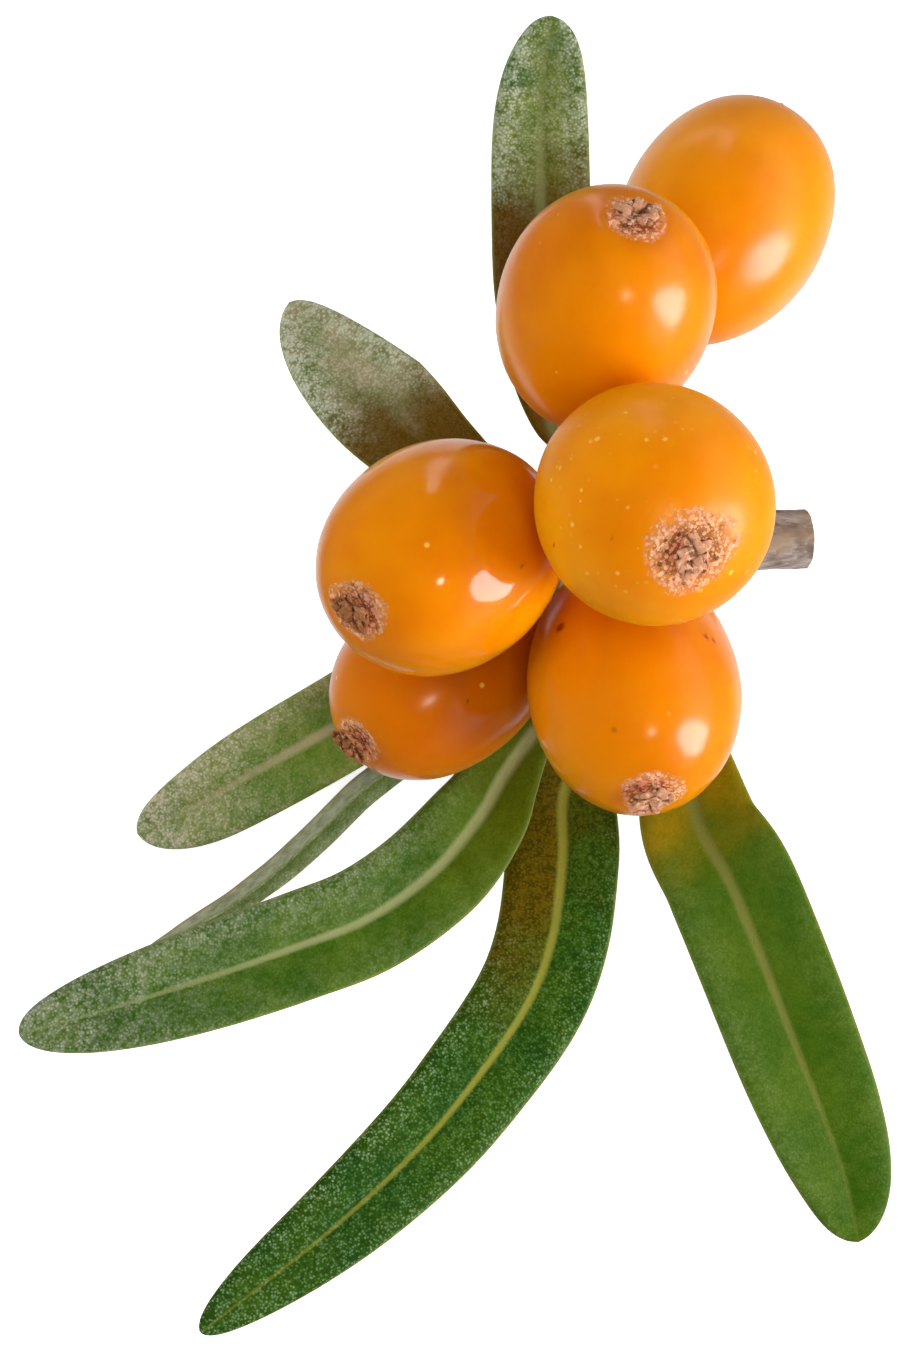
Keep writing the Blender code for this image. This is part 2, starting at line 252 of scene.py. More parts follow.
def between(tree, value, low, high):
    """0 below low, 1 above high and a smooth rise from one to the other."""
    return wire(tree, "ShaderNodeMapRange", {"interpolation_type": "SMOOTHSTEP"}, Value=value,
                From_Min=low, From_Max=high).outputs[0]


def blended(tree, share, under, over):
    """One colour under another, which covers it by the given share."""
    return wire(tree, "ShaderNodeMix", {"data_type": "RGBA"}, i0=share, i6=under, i7=over).outputs[2]


def mark(tree, name):
    """A value that the mesh carries under this name."""
    return wire(tree, "ShaderNodeAttribute", {"attribute_name": name}).outputs["Fac"]


def specks_group():
    """Round specks scattered in space: one in each cell of a random pattern, but only in the
    given share of the cells. It gives the specks as a mask, and a random shade for each."""
    tree, given, out = node_group(
        "scale_specks",
        {"Vector": ("Place",), "Float": ("Cells per metre", "Share", "Reach", "Edge")},
        {"Float": ("Mask", "Shade")})
    cells = wire(tree, "ShaderNodeTexVoronoi", {"feature": "F1"}, Vector=given["Place"],
                 Scale=given["Cells per metre"])
    random = wire(tree, "ShaderNodeSeparateColor", Color=cells.outputs["Color"]).outputs
    chosen = maths(tree, "LESS_THAN", random[0], given["Share"])
    wide = times(tree, given["Reach"], plus(tree, random[1], 0.35))
    inner = minus(tree, wide, given["Edge"])
    dot = between(tree, cells.outputs["Distance"], wide, inner)
    tree.links.new(times(tree, dot, chosen), out["Mask"])
    tree.links.new(random[2], out["Shade"])
    return tree


SPECKS = specks_group()


def placed(tree, group, **inputs):
    """A node group set into a material, with values or other sockets on its named inputs."""
    return wire(tree, "ShaderNodeGroup", {"node_tree": group}, **inputs)


def specks(tree, place, share, cells, reach, edge):
    made = placed(tree, SPECKS, Place=place, Cells_per_metre=cells, Share=share, Reach=reach, Edge=edge)
    return made.outputs["Mask"], made.outputs["Shade"]


def noise(tree, place, scale, detail=2.0, roughness=0.5):
    return wire(tree, "ShaderNodeTexNoise", Vector=place, Scale=scale, Detail=detail,
                Roughness=roughness).outputs["Fac"]


def new_finish(name, **constants):
    """A material with a Principled shader, its constant sockets set, and its Object coordinates."""
    material = bpy.data.materials.new(name)
    material.use_nodes = True
    tree = material.node_tree
    shader = tree.nodes["Principled BSDF"]
    for socket, value in constants.items():
        shader.inputs[socket.replace("_", " ")].default_value = value
    return material, tree, shader, tree.nodes.new("ShaderNodeTexCoord").outputs["Object"]


def roughen(tree, shader, height, distance, strength=1.0):
    """Relief on a shader that turns its normal only: the height is a share of the distance."""
    bump = wire(tree, "ShaderNodeBump", Strength=strength, Distance=distance, Height=height)
    tree.links.new(bump.outputs["Normal"], shader.inputs["Normal"])


# Noise is given as its cells in a metre, its detail and its roughness.
BLUSH = (190.0, 3.0)
BLOOM = (260.0, 3.0)
CROWDING = (330.0, 2.0)
GRIT = (4200.0, 3.0, 0.6)
WAX = (420.0, 4.0)
PEEL = (900.0, 3.0)
# Specks are given as their cells in a metre, how far each reaches and how soft its edge is.
PALE_SCALES = (3000.0, 0.34, 0.25)
BROWN_SPECKS = (700.0, 0.13, 0.1)
CORK_GRAINS = (7600.0, 0.85, 0.35)
CORK_PITS = (4600.0, 0.5, 0.3)
# Painted shade: the darker colour each berry takes towards its stalk, where it meets the twig.
STALK_END_SHADE = paint(200, 92, 0)
BLOOM_COLOUR = paint(254, 176, 20)
SCALE_COLOUR = paint(255, 212, 104)
SPECK_COLOUR = paint(150, 66, 8)
FLECK_COLOUR = paint(150, 62, 10)
THIN_CORK = paint(208, 138, 80)
THICK_CORK = paint(150, 106, 76)
DARK_GRAIN = paint(222, 158, 118)
PALE_GRAIN = paint(250, 196, 156)
PIT_COLOUR = paint(116, 72, 44)


def berry_face_group():
    """The skin of a ripe berry: amber with a slow blush, darker and duller at the stalk, where the
    darker colour is painted shade, under pale dust and tiny pale scales, with brown flecks.
    Towards the tip it breaks up into peach-coloured grains of cork with dark pits between them."""
    tree, given, out = node_group(
        "berry_face",
        {"Vector": ("Place",), "Float": ("Cork", "Fleck", "Shoulder", "Dust"), "Color": ("Deep", "Bright")},
        {"Color": ("Colour",), "Float": ("Roughness", "Gloss", "Height")})
    place, cork, shoulder, dust = (given[name] for name in ("Place", "Cork", "Shoulder", "Dust"))
    blush = between(tree, noise(tree, place, *BLUSH), 0.35, 0.65)
    skin = blended(tree, blush, given["Deep"], given["Bright"])
    # Painted shade: the skin darkens towards the stalk, where the berry meets the twig.
    stalk_end_shade = times(tree, between(tree, shoulder, 0.15, 1.0), 0.15)
    skin = blended(tree, stalk_end_shade, skin, STALK_END_SHADE)
    bloom = times(tree, between(tree, noise(tree, place, *BLOOM), 0.5, 0.75), dust)
    skin = blended(tree, times(tree, bloom, 0.3), skin, BLOOM_COLOUR)
    crowd = plus(tree, between(tree, noise(tree, place, *CROWDING), 0.42, 0.7), 0.1)
    crowd = times(tree, crowd, times(tree, dust, times(tree, dust, 0.5)))
    scale, shade = specks(tree, place, crowd, *PALE_SCALES)
    skin = blended(tree, times(tree, scale, times(tree, shade, 0.8)), skin, SCALE_COLOUR)
    brown = specks(tree, place, 0.035, *BROWN_SPECKS)[0]
    skin = blended(tree, times(tree, brown, 0.5), skin, SPECK_COLOUR)
    skin = blended(tree, between(tree, given["Fleck"], 0.2, 1.0), skin, FLECK_COLOUR)
    near_tip = times(tree, cork, 6.0, clamp=True)
    torn = times(tree, minus(tree, noise(tree, place, *GRIT), 0.5), times(tree, near_tip, 0.8))
    ragged = plus(tree, cork, torn)
    thin, thick = between(tree, ragged, 0.02, 0.3), between(tree, ragged, 0.35, 0.9)
    skin = blended(tree, times(tree, thin, 0.85), skin, blended(tree, thick, THIN_CORK, THICK_CORK))
    grains, shade = specks(tree, place, 0.9, *CORK_GRAINS)
    skin = blended(tree, times(tree, grains, thin), skin, blended(tree, shade, DARK_GRAIN, PALE_GRAIN))
    pits = specks(tree, place, 0.45, *CORK_PITS)[0]
    pitted = times(tree, between(tree, ragged, 0.12, 0.6), pits)
    skin = blended(tree, times(tree, pitted, 0.85), skin, PIT_COLOUR)
    tree.links.new(skin, out["Colour"])
    waxy = plus(tree, times(tree, dust, 0.15), times(tree, noise(tree, place, *WAX), 0.2))
    tree.links.new(mixed(tree, thin, plus(tree, waxy, 0.2), 0.85), out["Roughness"])
    dull = times(tree, between(tree, shoulder, 0.3, 0.9), 0.6)
    tree.links.new(minus(tree, 1.0, maths(tree, "MAXIMUM", thin, dull)), out["Gloss"])
    peel = plus(tree, times(tree, noise(tree, place, *PEEL), 0.012), times(tree, scale, 0.006))
    raised = times(tree, minus(tree, grains, pits), times(tree, thin, 0.035))
    tree.links.new(plus(tree, peel, raised), out["Height"])
    return tree


BERRY_FACE = berry_face_group()


def skin_finish(berry):
    material, tree, shader, place = new_finish(
        "berry_skin_" + berry.name, Subsurface_Weight=0.75, Subsurface_Radius=(1.0, 0.55, 0.1),
        Subsurface_Scale=4.0 * MM, IOR=1.45, Coat_IOR=1.5, Coat_Roughness=berry.polish,
        Specular_IOR_Level=0.05)
    face = placed(tree, BERRY_FACE, Place=place, Cork=mark(tree, "cork"), Fleck=mark(tree, "fleck"),
                  Shoulder=mark(tree, "shoulder"), Deep=paint(*berry.deep), Bright=paint(*berry.bright),
                  Dust=berry.dust).outputs
    tree.links.new(face["Colour"], shader.inputs["Base Color"])
    tree.links.new(face["Roughness"], shader.inputs["Roughness"])
    tree.links.new(times(tree, face["Gloss"], 1.0 - 0.45 * berry.dust), shader.inputs["Coat Weight"])
    roughen(tree, shader, face["Height"], MM)
    return material


def make_berry(berry):
    rows, cork, local = berry_rows(berry)
    share = local[..., 2] / berry.half_length
    outward = unit(rows - np.array(berry.centre))
    fleck = np.zeros(cork.shape)
    for x, y, size in berry.flecks:
        aim = np.array((x, y, math.sqrt(max(0.0, 1.0 - x * x - y * y))))
        apart = np.linalg.norm(outward - aim, axis=-1) * berry.radius
        fleck = np.maximum(fleck, np.clip(FLECK_EDGE * (1.0 - apart / size), 0.0, 1.0))
    piece = closed_skin("skin_" + berry.name, rows, skin_finish(berry), cork=cork, fleck=fleck,
                        shoulder=np.clip(-share, 0.0, 1.0))
    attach(piece, "root")
    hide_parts("berry_" + berry.name)


for berry in BERRIES:
    make_berry(berry)

# ---------------------------------------------------------------- the dried tips
# What is left of each flower is a crumpled brown crown that sits in the berry's dimple. It
# is dry and papery, and it breaks off in crumbs. It is a low button with a ragged rim and a
# pit in its middle.
DRIED_TIP_RADIUS = 0.72
DRIED_TIP_HEIGHT = 0.5
DRIED_TIP_CLEARANCE = 0.15
DRIED_TIP_ROWS = 60
DRIED_TIP_TURNS = 120
PIT_DEPTH = 0.16
PIT_WIDTH = 0.2
# How deep the creases, the folds and the crumbs are, and then how large.
CREASE_DEPTH, FOLD_DEPTH, CRUMB_DEPTH = 0.13, 0.06, 0.03
CREASE_SIZE, FOLD_SIZE, CRUMB_SIZE = 0.36, 0.17, 0.1
DRIED_GRIT = (4200.0, 4.0, 0.7)


def dried_tip_rows(berry):
    """A button: the angle from its top gives its width and its height, a lobed rim widens it,
    and a bell-shaped pit is taken from its middle. Creases, where noise crosses zero, and fine
    crumbs roughen it all."""
    angle = math.pi * np.linspace(0.0, 1.0, DRIED_TIP_ROWS)[1:-1, None]
    turn = np.linspace(0.0, 2 * math.pi, DRIED_TIP_TURNS, endpoint=False)[None, :]
    lobes = 1.0 + 0.16 * np.cos(2 * turn + berry.half_length) + 0.1 * np.cos(5 * turn)
    spread = DRIED_TIP_RADIUS * lobes * (1.0 + 0.3 * np.cos(angle)) * np.sin(angle)
    bowl = 0.35 * np.sin(angle) ** 2
    height = 0.5 * DRIED_TIP_HEIGHT * (np.cos(angle) + bowl + 1.0) + 0.0 * turn
    height = height - PIT_DEPTH * np.exp(-(spread / PIT_WIDTH) ** 2) * (np.cos(angle) > 0.0)
    local = np.stack((spread * np.cos(turn), spread * np.sin(turn), height), axis=-1)
    seed = 20 + len(berry.name)
    creased = np.minimum(1.0, 2.2 * np.abs(grain(local, CREASE_SIZE, seed)))
    folded = np.minimum(1.0, 2.2 * np.abs(grain(local, FOLD_SIZE, seed + 1)))
    rough = (CREASE_DEPTH * (creased - 0.75) + FOLD_DEPTH * (folded - 0.7)
             + CRUMB_DEPTH * grain(local, CRUMB_SIZE, seed + 2))
    outward = unit(local - np.array((0.0, 0.0, 0.2)))
    local = local + (rough * np.clip(np.cos(angle) + 0.75, 0.0, 1.0))[..., None] * outward
    out = berry.half_length - TIP_DIMPLE[0] + DRIED_TIP_CLEARANCE
    seat = np.array(berry.centre) + out * unit(berry.tip)
    return on_axis(local, seat, berry.tip), 0.6 * creased + 0.4 * folded


def dried_finish(name, crease_shade, ridge, crumb):
    material, tree, shader, place = new_finish(name, Roughness=0.9, Specular_IOR_Level=0.1)
    grit = noise(tree, place, *DRIED_GRIT)
    # Painted shade: the creases take the dark crease colour, as shade lies in them, and the ridges take the
    # crown's own colour.
    crust = blended(tree, between(tree, mark(tree, "raised"), 0.15, 0.8), paint(*crease_shade), paint(*ridge))
    crust = blended(tree, between(tree, grit, 0.48, 0.68), crust, paint(*crumb))
    tree.links.new(crust, shader.inputs["Base Color"])
    roughen(tree, shader, grit, 0.06 * MM)
    return material


# The crown's colours come in two copies: a pale one, and a darker one that is painted shade.
PALE_CROWN = dried_finish("dried_flower_bleached", (92, 50, 30), (200, 144, 108), (238, 188, 152))
SHADED_CROWN = dried_finish("dried_flower_brown", (84, 40, 18), (166, 106, 66), (208, 150, 108))
for berry in BERRIES:
    rows, raised = dried_tip_rows(berry)
    # Painted shade: the crowns of the left and the lower left berries face away from the tall lamp, so they
    # take the darker copy.
    finish = SHADED_CROWN if berry.name in ("left", "lower_left") else PALE_CROWN
    piece = closed_skin("crown_" + berry.name, rows, finish, raised=raised)
    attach(piece, "root")
    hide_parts("dried_tip_" + berry.name)

# ---------------------------------------------------------------- the twig
# The sprig was cut from its branch with a sharp blade. The twig is grey-brown bark over pale
# wood, bent up at its growing end. The bark is finely ridged along the twig, with pale
# scales and small corky warts, and the cut end shows wood with a soft brown pith.
TWIG_ROUTE = ((13.08, 5.1, 1.08), (10.2, 5.0, 2.0), (7.7, 5.0, 2.9), (5.5, 5.2, 4.1), (4.4, 5.6, 6.0),
              (4.5, 6.3, 7.8))
TWIG_RADIUS = 1.12
TWIG_TIP_RADIUS = 0.75
TWIG_END = 0.93
TWIG_ROWS = 230
TWIG_TURNS = 96
CUT_ROWS = np.array((0.02, 0.12, 0.22, 0.34, 0.48, 0.62, 0.74, 0.82, 0.88, 0.93, 0.97, 0.99))
NODE_SWELLING = (0.06, 0.04)  # its height, and its length as a share of the twig
BARK_START = 0.86  # the share of the radius where the cut end turns into bark
RIDGE_STRETCH = 0.22
# The height and the size of each kind of relief on the twig.
RIDGES, FINE_RIDGES, WARTS, SAW_MARKS = (0.045, 0.42), (0.02, 0.25), (0.06, 0.7), (0.02, 0.3)
# Where each leaf grows, as a share of the way along the twig.
LEAF_PLACES = {"top": 0.78, "left_upper": 0.86, "left_lower": 0.70, "narrow": 0.62, "big_left": 0.54,
               "center": 0.45, "right": 0.35}
BARK_STREAKS = (2600.0, 4.0, 0.6)
BARK_BLOTS = (700.0, 3.0)
BARK_DOTS = (5200.0, 0.4, 0.2)
WOOD_RINGS = (3000.0, 3.0)


def smooth_route(points, shares):
    """Places at the given shares of the length of a smooth curve through the points: between
    two points it is the cubic that leaves each one along the line between its neighbours."""
    points = np.asarray(points, dtype=float)
    padded = np.vstack((2 * points[0] - points[1], points, 2 * points[-1] - points[-2]))
    before, start, end, after = (padded[k:len(padded) - 3 + k, None] for k in range(4))
    t = np.linspace(0.0, 1.0, 16, endpoint=False)[None, :, None]
    fine = 0.5 * (2 * start + (end - before) * t + (2 * before - 5 * start + 4 * end - after) * t ** 2
                  + (3 * start - before - 3 * end + after) * t ** 3)
    curve = np.vstack((fine.reshape(-1, 3), points[-1:]))
    lengths = np.append(0.0, np.cumsum(np.linalg.norm(np.diff(curve, axis=0), axis=1)))
    wanted = np.asarray(shares) * lengths[-1]
    places = np.column_stack([np.interp(wanted, lengths, curve[:, axis]) for axis in range(3)])
    return places, lengths[-1]


def level_frames(route):
    """The level side and the upper side of a route at each of its places."""
    forward = unit(np.gradient(route, axis=0))
    side = unit(np.cross(forward, (0.0, 0.0, 1.0)))
    return side, np.cross(side, forward)


def twig_radius(share):
    """It narrows with the square of the distance from the cut end, and swells in a bell-shaped
    ring wherever a leaf or a stalk grows from it."""
    radius = TWIG_RADIUS + (TWIG_TIP_RADIUS - TWIG_RADIUS) * np.asarray(share) ** 2
    height, reach = NODE_SWELLING
    for place in (*LEAF_PLACES.values(), *(berry.twig_place for berry in BERRIES)):
        radius = radius + height * np.exp(-((share - place) / reach) ** 2)
    return radius


def twig_rows():
    """A circle carried along the twig's route. The first rows close the cut end: they grow
    from its middle to its edge, on a plane that a small round edge joins to the bark. Noise
    stretched along the twig makes its ridges, and finer noise its warts."""
    cuts = len(CUT_ROWS)
    bark_share = np.linspace(0.0, 1.0, TWIG_ROWS) ** 1.05
    share = np.concatenate((np.zeros(cuts), bark_share))
    lie = np.concatenate((CUT_ROWS, np.ones(TWIG_ROWS)))
    route = smooth_route(TWIG_ROUTE, bark_share)[0]
    side, up = level_frames(route)
    route, side, up = (np.concatenate((np.repeat(part[:1], cuts, axis=0), part))
                       for part in (route, side, up))
    end = np.clip((share - TWIG_END) / (1.0 - TWIG_END), 0.0, 1.0)
    radius = twig_radius(share) * np.sqrt(1.0 - 0.75 * end ** 2)
    turn = np.linspace(0.0, 2 * math.pi, TWIG_TURNS, endpoint=False)
    ring = np.cos(turn)[None, :, None] * side[:, None] + np.sin(turn)[None, :, None] * up[:, None]
    rows = route[:, None] + (radius * lie)[:, None, None] * ring
    bark = np.clip((lie - BARK_START) / (1.0 - BARK_START), 0.0, 1.0)[:, None] * np.ones(len(turn))
    drawn_out = rows * np.array((RIDGE_STRETCH, 1.0, 1.0))
    ridges = RIDGES[0] * crumbs(drawn_out, RIDGES[1], 31) + FINE_RIDGES[0] * crumbs(rows, FINE_RIDGES[1], 35)
    warts = WARTS[0] * np.clip(3.0 * grain(rows, WARTS[1], 38) - 1.7, 0.0, 1.0)
    rows = rows + ((ridges + warts) * bark)[..., None] * ring
    forward = unit(route[0] - route[-1])
    saw = (1.0 - bark) * (lie < 1.0)[:, None] * SAW_MARKS[0] * crumbs(rows, SAW_MARKS[1], 40)
    rows = rows + saw[..., None] * forward
    rows[..., 2] = np.maximum(rows[..., 2], 0.0)
    face = np.where(np.arange(len(share)) < cuts, lie, 2.0)[:, None] + 0.0 * turn
    return rows, face, ridges + warts


def bark_finish():
    material, tree, shader, place = new_finish("twig_bark", Specular_IOR_Level=0.3)
    long_way = wire(tree, "ShaderNodeMapping", Vector=place, Scale=(0.25, 1.0, 1.0)).outputs[0]
    streak = noise(tree, long_way, *BARK_STREAKS)
    blot = noise(tree, place, *BARK_BLOTS)
    bark = blended(tree, between(tree, streak, 0.35, 0.68), paint(108, 94, 82), paint(174, 168, 160))
    bark = blended(tree, between(tree, blot, 0.5, 0.75), bark, paint(156, 138, 110))
    bark = blended(tree, between(tree, mark(tree, "relief"), 0.03, 0.08), bark, paint(146, 122, 96))
    dots = specks(tree, place, 0.3, *BARK_DOTS)[0]
    bark = blended(tree, times(tree, dots, 0.25), bark, paint(190, 182, 174))
    face = mark(tree, "face")
    wood = blended(tree, noise(tree, place, *WOOD_RINGS), paint(206, 180, 138), paint(176, 142, 98))
    wood = blended(tree, between(tree, face, 0.3, 0.2), wood, paint(128, 84, 50))
    wood = blended(tree, between(tree, face, 0.78, 0.86), wood, paint(126, 132, 70))
    tree.links.new(blended(tree, between(tree, face, 0.9, 1.0), wood, bark), shader.inputs["Base Color"])
    tree.links.new(plus(tree, times(tree, streak, 0.25), 0.6), shader.inputs["Roughness"])
    roughen(tree, shader, streak, 0.1 * MM)
    return material


rows, face, relief = twig_rows()
piece = closed_skin("bark", rows, bark_finish(), face=face, relief=relief)
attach(piece, "root")
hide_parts("twig")

# ---------------------------------------------------------------- the berry stalks
# Each berry hangs on a short, thin stalk that grows out of the twig. It is yellow-green with
# rusty scales, faintly ribbed, and rounded where it meets the bark and the berry.
STALK_RADIUS = 0.4
STALK_BEND = 0.6
STALK_ROWS = 56
STALK_TURNS = 40
STALK_STREAKS = (1900.0, 3.0)
RUSTY_SCALES = (6000.0, 0.45, 0.2)
CLEARANCE = 0.3


def twig_centre(share):
    return smooth_route(TWIG_ROUTE, [share])[0][0]


def from_twig(share, towards):
    """The place just off the bark, square to the twig, where a stalk or a petiole starts."""
    centre = twig_centre(share)
    along = unit(twig_centre(share + 0.01) - twig_centre(share - 0.01))
    outward = np.asarray(towards) - centre
    outward = unit(outward - np.dot(outward, along) * along)
    return centre + (twig_radius(share) + CLEARANCE) * outward


def stalk_rows(berry):
    """A circle carried along a curve that leaves the bark squarely and meets the berry along
    its axis. A bell-shaped narrowing rounds both ends, and a cosine round it makes its ribs."""
    end = np.array(berry.centre) - (berry.half_length - STALK_DIMPLE[0] + CLEARANCE) * unit(berry.tip)
    start = from_twig(berry.twig_place, end)
    reach = min(STALK_BEND, np.linalg.norm(end - start) / 3)
    off_twig = start + reach * unit(start - twig_centre(berry.twig_place))
    off_berry = end - reach * unit(berry.tip)
    share = np.linspace(0.0, 1.0, STALK_ROWS)
    route = smooth_route((start, off_twig, off_berry, end), share)[0]
    side, up = level_frames(route)
    from_end = np.minimum(share, 1.0 - share)
    radius = STALK_RADIUS * (1.0 - 0.4 * np.exp(-(from_end / 0.1) ** 2))
    radius = radius * np.sqrt(np.clip(from_end / 0.02, 0.25, 1.0))
    turn = np.linspace(0.0, 2 * math.pi, STALK_TURNS, endpoint=False)
    ring = np.cos(turn)[None, :, None] * side[:, None] + np.sin(turn)[None, :, None] * up[:, None]
    ribs = 1.0 + 0.04 * np.cos(5 * turn) + 0.0 * radius[:, None]
    rows = route[:, None] + (radius[:, None] * ribs)[..., None] * ring
    return rows + (0.03 * crumbs(rows, 0.3, 50))[..., None] * ring


def stalk_finish():
    material, tree, shader, place = new_finish("berry_stalk", Roughness=0.6, Specular_IOR_Level=0.35)
    streak = noise(tree, place, *STALK_STREAKS)
    green = blended(tree, between(tree, streak, 0.35, 0.7), paint(132, 124, 52), paint(168, 150, 78))
    rust = specks(tree, place, 0.35, *RUSTY_SCALES)[0]
    green = blended(tree, times(tree, rust, 0.6), green, paint(152, 96, 52))
    tree.links.new(green, shader.inputs["Base Color"])
    roughen(tree, shader, streak, 0.06 * MM, 0.8)
    return material


STALK_SKIN = stalk_finish()
for berry in BERRIES:
    piece = closed_skin("stem_" + berry.name, stalk_rows(berry), STALK_SKIN)
    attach(piece, "root")
    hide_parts("stalk_" + berry.name)

# ---------------------------------------------------------------- the leaves
# A sea buckthorn leaf is a narrow leathery blade on a very short petiole. Its top is dark
# green under tiny silver scales, thickest at its tip and edges, with a pale sunken midrib,
# and its back is silvery with a raised rib. The bronze at the foot is painted light: the
# orange glow that the berries throw onto the leaves there.

# Lengths are in millimetres, and the widest place is measured from the petiole's end. The roll
# and the fold are in degrees. The bluntness is the left half's and then the right half's.
Leaf = namedtuple("Leaf", "name midrib half_width widest petiole roll fold bluntness look")
# Colours, how silvery the halves and the tip are, how far the bronze reaches in each half, and
# how wide the rib looks. The bronze is painted light, the berries' orange glow on the foot.
Look = namedtuple("Look", "green patch silver bronze rib left right tip speckle"
                          " bronze_left bronze_right rib_width")
LEAVES = (
    Leaf("top",
         ((4.8, 7.7, 4.5), (3.7, 9.4, 4.1), (3.28, 13.6, 4.7), (3.15, 18.0, 5.9), (3.15, 21.2, 7.3),
          (3.52, 24.1, 8.2)), 1.87, 7.5, 1.8, 0, 12, (3.8, 5.2),
         Look((58, 90, 14), (118, 130, 50), (164, 176, 150), (96, 66, 0), (128, 134, 84),
              0.56, 0.4, 0.04, 1.0, 0.6, 0.66, 0.5)),
    Leaf("left_upper",
         ((2.9, 6.4, 5.1), (0.8, 7.4, 4.4), (-0.9, 8.4, 3.8), (-2.5, 9.85, 2.9), (-4.45, 11.9, 1.5),
          (-6.2, 13.95, 0.15)), 2.15, 6.5, 1.6, 0, 12, (2.0, 1.1),
         Look((108, 128, 68), (176, 160, 126), (192, 200, 176), (100, 72, 0), (110, 104, 70),
              0.54, 0.4, 0.2, 1.1, 0.56, 0.48, 0.02)),
    Leaf("left_lower",
         ((4.5, 2.9, 3.3), (4.3, 2.2, 1.5), (3.1, 1.8, 0.7), (1.2, 1.2, 0.5), (-1.2, 0.1, 0.9),
          (-4.2, -1.75, 1.6), (-7.7, -3.75, 1.2), (-9.7, -4.9, 0.7), (-11.9, -5.95, 0.1)),
         1.85, 9.0, 3.0, 0, 12, (4.5, 3.2),
         Look((78, 116, 14), (126, 138, 52), (190, 184, 160), (92, 90, 20), (176, 162, 126),
              0.08, 0.24, 0.6, 0.8, 0.26, 0.24, 0.5)),
    Leaf("narrow",
         ((5.5, 1.9, 1.5), (3.6, 0.0, 0.8), (0.9, -1.6, 0.8), (-1.4, -2.45, 1.0), (-3.75, -4.1, 1.2),
          (-5.45, -5.8, 1.2), (-8.2, -8.15, 1.1), (-12.0, -10.7, 0.8)),
         1.45, 8.0, 4.0, 73, 38, (3.0, 3.0),
         Look((70, 98, 10), (96, 118, 30), (170, 180, 146), (66, 66, 10), (134, 144, 94),
              0.3, 0.3, 0.2, 0.6, 0.3, 0.3, 0.2)),
    Leaf("big_left",
         ((6.3, 2.0, 2.3), (4.4, -0.4, 2.1), (2.7, -2.5, 2.0), (1.75, -3.85, 2.5), (0.87, -5.33, 3.4),
          (-0.8, -7.28, 4.8), (-3.15, -8.95, 6.0), (-5.7, -9.95, 6.9), (-9.4, -11.2, 8.0),
          (-13.0, -12.3, 8.7), (-15.9, -13.1, 9.0)), 2.07, 8.6, 6.0, 0, 12, (4.0, 4.0),
         Look((50, 88, 0), (84, 112, 22), (162, 166, 148), (78, 92, 4), (152, 160, 106),
              0.05, 0.2, 0.36, 1.0, 0.3, 0.2, 0.34)),
    Leaf("center",
         ((7.5, 1.6, 1.2), (5.4, -1.3, 1.0), (4.1, -4.3, 1.4), (4.0, -6.9, 2.4), (3.6, -9.8, 3.9),
          (2.65, -12.2, 5.3), (0.7, -14.95, 6.9), (-1.4, -17.38, 8.1), (-4.55, -20.25, 9.2),
          (-9.25, -23.9, 10.0)),
         2.14, 8.0, 3.5, 3, 6, (2.7, 3.0),
         Look((40, 86, 14), (66, 102, 14), (176, 198, 176), (100, 84, 0), (156, 156, 60),
              0.04, 0.06, 0.03, 3.2, 0.2, 0.43, 0.3)),
    Leaf("right",
         ((9.1, 1.8, 1.2), (8.5, -1.5, 1.7), (9.02, -5.35, 2.5), (10.18, -7.6, 2.9), (11.35, -10.4, 3.0),
          (12.8, -14.1, 2.7), (13.8, -16.6, 2.0), (14.6, -18.85, 1.1), (15.15, -21.25, 0.15)),
         2.5, 9.8, 3.4, 0, 12, (3.6, 3.6),
         Look((56, 94, 0), (78, 106, 8), (132, 152, 100), (168, 134, 0), (126, 128, 60),
              0.06, 0.1, 0.02, 0.8, 0.24, 0.24, 0.4)),
)
LEAF_ROWS = 190
LEAF_TURNS = 76
BLADE_THICKNESS = 0.26
EDGE_THICKNESS = 0.12
PETIOLE_HALF_WIDTH = 0.33
PETIOLE_THICKNESS = 0.44
LEAF_TIP_HALF_WIDTH = 0.1
FOLD_SOFTNESS = 0.12
RIM_START, RIM_BEND = 0.72, 0.16
# Each has a depth or a height and then a width, in millimetres.
RIB_GROOVE = (0.05, 0.26)
RIB_RIDGE = (0.1, 0.24)
SLOW_WAVES = (0.1, 3.4)
QUICK_WAVES = (0.035, 1.3)


def blade_half_width(leaf, along, length, bluntness):
    """A petiole of even width, then a blade that is oval up to its widest place and blunt
    beyond it: one minus a power of the way to the tip, under a root."""
    past_widest = along - leaf.petiole - leaf.widest
    foot = np.clip(-past_widest / leaf.widest, 0.0, 1.0)
    tip = np.clip(past_widest / (length - leaf.petiole - leaf.widest), 0.0, 1.0)
    outline = np.where(past_widest < 0.0, (1.0 - foot ** 2) ** 0.75, (1.0 - tip ** bluntness) ** 0.5)
    smallest = np.where(past_widest < 0.0, PETIOLE_HALF_WIDTH, LEAF_TIP_HALF_WIDTH)
    return np.maximum(leaf.half_width * outline, smallest)


